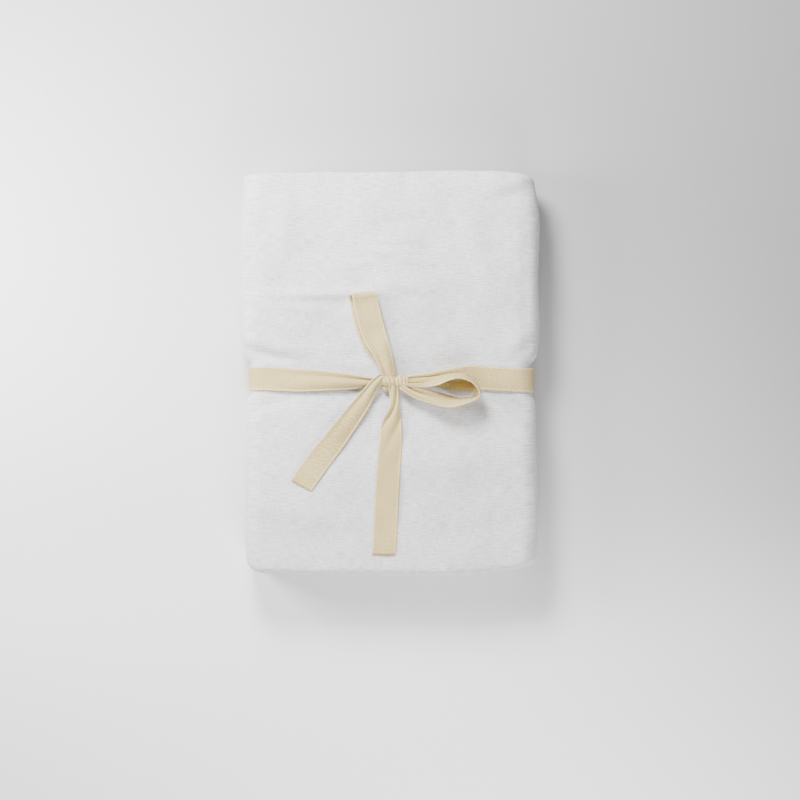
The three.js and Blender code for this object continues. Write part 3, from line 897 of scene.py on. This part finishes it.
class Finish:
    """A material and the nodes that make it."""

    def __init__(self, name):
        self.material = bpy.data.materials.new(name)
        self.material.use_nodes = True
        self.tree = self.material.node_tree
        self.tree.nodes.clear()

    def node(self, kind, settings=None, inputs=None):
        """A node of a type, with its settings and then the values or links of its sockets."""
        made = self.tree.nodes.new(kind)
        for key, value in (settings or {}).items():
            setattr(made, key, value)
        for key, value in (inputs or {}).items():
            source = value.socket if isinstance(value, Amount) else value
            if isinstance(source, bpy.types.NodeSocket):
                self.tree.links.new(source, made.inputs[key])
            else:
                made.inputs[key].default_value = source
        return made

    def maths(self, operation, *values):
        made = self.node("ShaderNodeMath", {"operation": operation}, dict(enumerate(values)))
        return Amount(self, made.outputs[0])

    def sine(self, value):
        return self.maths("SINE", value)

    def ramp(self, value, low, high):
        """0 below low, 1 above high and smooth between."""
        settings = {"interpolation_type": "SMOOTHSTEP", "clamp": True}
        ends = {"Value": value, "From Min": low, "From Max": high}
        made = self.node("ShaderNodeMapRange", settings, ends)
        return Amount(self, made.outputs["Result"])

    def laid_flat(self):
        """Where a point lies on the sheet laid out flat: along both ways, in millimetres."""
        place = self.node("ShaderNodeUVMap", {"uv_map": FLAT_MAP}).outputs["UV"]
        parts = self.node("ShaderNodeSeparateXYZ", inputs={0: place})
        return [Amount(self, parts.outputs[k]) * (1 / MM) for k in (0, 1)]

    def cloudy(self, across, along_it, size_across, size_along, detail=2.0, seed=0.0):
        """Noise with blotches of the given sizes both ways."""
        place = self.node(
            "ShaderNodeCombineXYZ",
            inputs={0: across / size_across, 1: along_it / size_along, 2: seed},
        )
        made = self.node(
            "ShaderNodeTexNoise",
            {"noise_dimensions": "3D"},
            {"Vector": place.outputs[0], "Scale": 1, "Detail": detail, "Roughness": 0.6},
        )
        return Amount(self, made.outputs["Fac"])

    def mixed(self, factor, first, second):
        """A colour between two others."""
        inputs = {0: factor, 6: first, 7: second}
        return self.node("ShaderNodeMix", {"data_type": "RGBA"}, inputs).outputs[2]

    def surface(self, constants, varying, height, depth):
        """The shader: its constants, what varies, and a bump of this depth in metres."""
        bump = self.node("ShaderNodeBump", inputs={"Height": height, "Distance": depth, "Strength": 1})
        shader = self.node("ShaderNodeBsdfPrincipled", inputs={**constants, **varying})
        self.tree.links.new(bump.outputs["Normal"], shader.inputs["Normal"])
        out = self.node("ShaderNodeOutputMaterial")
        self.tree.links.new(shader.outputs[0], out.inputs["Surface"])
        return self.material


def opaque(colour):
    return (*colour, 1)


def flannel_finish(sizes, flat_size):
    """Brushed cotton: a fine plain weave with uneven yarns under a soft nap, and stitched hems."""
    finish = Finish("flannel")
    x, y = finish.laid_flat()
    weft = finish.cloudy(x, y, 0.9, 9, seed=3)
    warp = finish.cloudy(x, y, 7.5, 0.8, seed=8)
    nap = finish.cloudy(x, y, 1.1, 1.1, 4, seed=1)
    drift = finish.cloudy(x, y, 55, 70, 3, seed=5)
    threads = finish.sine(x * (2 * math.pi / 0.62)) * finish.sine(y * (2 * math.pi / 0.62))
    slubs = finish.ramp(weft, 0.62, 0.74) + finish.ramp(warp, 0.63, 0.75)
    thin = finish.ramp(weft, 0.4, 0.28) + finish.ramp(warp, 0.4, 0.28)
    near_edge = finish.maths(
        "MINIMUM",
        finish.maths("MINIMUM", x, flat_size[0] - x),
        finish.maths("MINIMUM", y, flat_size[1] - y),
    )
    on_line = 1 - finish.ramp(finish.maths("ABSOLUTE", near_edge - HEM_STITCH), 0.25, 0.45)
    dashes = finish.ramp(finish.sine((x + y) * (2 * math.pi / STITCH_STEP)), -0.5, -0.1)
    stitches = on_line * dashes
    shade = 0.5 + (weft - 0.5) * 0.7 + (warp - 0.5) * 1.9 + (nap - 0.5) * 0.5 + (drift - 0.5) * 0.3
    shade = shade + slubs * 0.2 - thin * 0.2 + threads * 0.08 + stitches * 0.4
    colour = finish.mixed(
        finish.ramp(shade, 0, 1),
        opaque(sizes.dark_colour),
        opaque(sizes.light_colour),
    )
    height = threads * 0.16 + weft * 0.3 + warp * 0.7 + nap * 0.2 + slubs * 0.25 + stitches * 0.8
    return finish.surface(
        {"Sheen Weight": 0.25, "Sheen Roughness": 0.5, "Specular IOR Level": 0.2},
        {"Base Color": colour, "Roughness": 0.96 - nap * 0.08},
        height,
        0.00014,
    )


def twill_finish(sizes):
    """Unbleached twill tape: slanting ribs with flecks between two plain, paler selvedges."""
    finish = Finish("twill_tape")
    along_it, across = finish.laid_flat()
    width = sizes.width / MM
    wander = finish.cloudy(along_it, across, 9, 3, 2, seed=2)
    fleck = finish.cloudy(along_it, across, 1.4, 0.7, 4, seed=6)
    drift = finish.cloudy(along_it, across, 38, 22, 2, seed=9)
    rib = finish.sine((along_it + across * 0.9 + wander * 1.4) * (2 * math.pi / 1.5))
    yarn = finish.sine(across * (2 * math.pi / 0.55))
    from_side = width / 2 - finish.maths("ABSOLUTE", across - width / 2)
    selvedge = 1 - finish.ramp(from_side, 1.1, 1.9)
    shade = 0.52 + rib * 0.26 * (1 - selvedge) + (fleck - 0.5) * 2.8 + (drift - 0.5) * 0.6 + yarn * 0.05
    woven = finish.mixed(
        finish.ramp(shade, 0, 1.05),
        opaque(sizes.dark_colour),
        opaque(sizes.light_colour),
    )
    colour = finish.mixed(selvedge * 0.3, woven, opaque(sizes.selvedge_colour))
    height = rib * 0.4 * (1 - selvedge) + fleck * 0.4 + yarn * 0.12 - selvedge * 0.3
    return finish.surface(
        {"Sheen Weight": 0.12, "Sheen Roughness": 0.5, "Specular IOR Level": 0.25},
        {"Base Color": colour, "Roughness": 0.9 - fleck * 0.1},
        height,
        0.0003,
    )


def floor_finish(look):
    """Smooth pale paper, with painted shade that darkens it towards the upper right and a little from in
    front of the bundle upwards.
    """
    finish = Finish("floor")
    place = finish.node("ShaderNodeTexCoord").outputs["Object"]
    parts = finish.node("ShaderNodeSeparateXYZ", inputs={0: place})
    x, y = (Amount(finish, parts.outputs[k]) * (1 / MM) for k in (0, 1))
    grain = finish.cloudy(x, y, 2.4, 2.4, 2)
    to_upper_right = x * 0.6 + y * 0.8
    # Painted shade: how far the floor's colour goes over to the darker shade colour
    shade = finish.ramp(to_upper_right, *FLOOR_SHADE) * 0.75 + finish.ramp(y, *FLOOR_STEP) * 0.25
    colour = finish.mixed(shade, opaque(look.floor_colour), opaque(look.painted_shade_colour))
    return finish.surface(
        {"Specular IOR Level": 0.1},
        {"Base Color": colour, "Roughness": 0.9 - grain * 0.05},
        grain,
        0.00002,
    )


# Operators


class BUNDLE_OT_protector(bpy.types.Operator):
    """Fold the protector: four layers along its height, then three panels side to side"""

    bl_idname = "bundle.protector"
    bl_label = "Folded protector"

    def execute(self, context):
        sizes = context.scene.cloth_sizes
        upper, lower, flat = protector_sheet(sizes.thickness / MM)
        flat_size = flat[-1, -1]
        finish = flannel_finish(sizes, flat_size)
        cloth = sheet_object("folded_protector", [(upper, lower, flat)], finish)
        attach(cloth, "root")
        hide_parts("protector")
        return {"FINISHED"}


class BUNDLE_OT_tape(bpy.types.Operator):
    """Tie the tape round the bundle, with its knot, two loops and two free ends"""

    bl_idname = "bundle.tape"
    bl_label = "Tape and bow"

    def execute(self, context):
        sizes = context.scene.tape_sizes
        width = sizes.width / MM
        runs = tape_runs(width, sizes.thickness / MM)
        tape = sheet_object("tape_bow", runs, twill_finish(sizes))
        length = sum(flat[-1, 0, 0] for _, _, flat in runs)
        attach(tape, "root")
        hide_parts("tie_tape")
        length * MM
        return {"FINISHED"}


class BUNDLE_OT_stage(bpy.types.Operator):
    """Lay the floor, hang the lights and set the camera over the face"""

    bl_idname = "bundle.stage"
    bl_label = "Floor, lights and camera"

    def execute(self, context):
        look = context.scene.stage_look
        half = look.floor_size / 2
        mesh = bpy.data.meshes.new("floor")
        corners = [(-half, -half, 0), (half, -half, 0), (half, half, 0), (-half, half, 0)]
        mesh.from_pydata(corners, [], [(0, 1, 2, 3)])
        mesh.materials.append(floor_finish(look))
        floor = bpy.data.objects.new("floor", mesh)
        context.collection.objects.link(floor)
        for name, place, size in LAMPS:
            hang_light(context, name, place, size, getattr(look, name + "_power"))
        light_room(context, look.sky_strength)
        aim_camera(context, look.camera_distance)
        return {"FINISHED"}


def hang_light(context, name, place, size, power):
    """A square soft light aimed at the bundle."""
    data = bpy.data.lights.new(name, "AREA")
    data.size = size
    data.energy = power
    lamp = bpy.data.objects.new(name, data)
    lamp.location = place
    aim = Vector([MM * s - p for s, p in zip(STAGE_MIDDLE, place)])
    lamp.rotation_euler = aim.to_track_quat("-Z", "Y").to_euler()
    context.collection.objects.link(lamp)


def light_room(context, strength):
    """Even pale light from all round."""
    world = bpy.data.worlds.new("room")
    world.use_nodes = True
    back = world.node_tree.nodes["Background"]
    back.inputs["Color"].default_value = (1, 1, 1, 1)
    back.inputs["Strength"].default_value = strength
    context.scene.world = world


def aim_camera(context, distance):
    """A camera straight over the face, with one pixel of the picture to 0.8 mm of it."""
    data = bpy.data.cameras.new("camera")
    data.sensor_fit = "HORIZONTAL"
    data.angle = 2 * math.atan(PICTURE * PIXEL * MM / 2 / distance)
    camera = bpy.data.objects.new("camera", data)
    x, y, z = (MM * value for value in VIEW_POINT)
    camera.location = (x, y, z + distance)
    context.collection.objects.link(camera)
    context.scene.camera = camera


class BUNDLE_PT_panel(bpy.types.Panel):
    """Sizes and colours of the bundle, and the steps that make it"""

    bl_idname = "BUNDLE_PT_panel"
    bl_label = "Folded bundle"
    bl_space_type = "VIEW_3D"
    bl_region_type = "UI"
    bl_category = "Bundle"

    def draw(self, context):
        for group, operator in STEPS:
            box = self.layout.box()
            sizes = getattr(context.scene, group)
            for name in sizes.__annotations__:
                box.prop(sizes, name)
            box.operator(operator)


STEPS = (
    ("cloth_sizes", "bundle.protector"),
    ("tape_sizes", "bundle.tape"),
    ("stage_look", "bundle.stage"),
)
GROUPS = {"cloth_sizes": ClothSizes, "tape_sizes": TapeSizes, "stage_look": StageLook}
CLASSES = (*GROUPS.values(), BUNDLE_OT_protector, BUNDLE_OT_tape, BUNDLE_OT_stage, BUNDLE_PT_panel)


def register():
    for made in CLASSES:
        bpy.utils.register_class(made)
    for name, group in GROUPS.items():
        setattr(bpy.types.Scene, name, bpy.props.PointerProperty(type=group))


def unregister():
    for name in GROUPS:
        delattr(bpy.types.Scene, name)
    for made in reversed(CLASSES):
        bpy.utils.unregister_class(made)


def main():
    register()
    bpy.ops.bundle.protector()
    bpy.ops.bundle.tape()
    bpy.ops.bundle.stage()


if __name__ == "__main__":
    main()
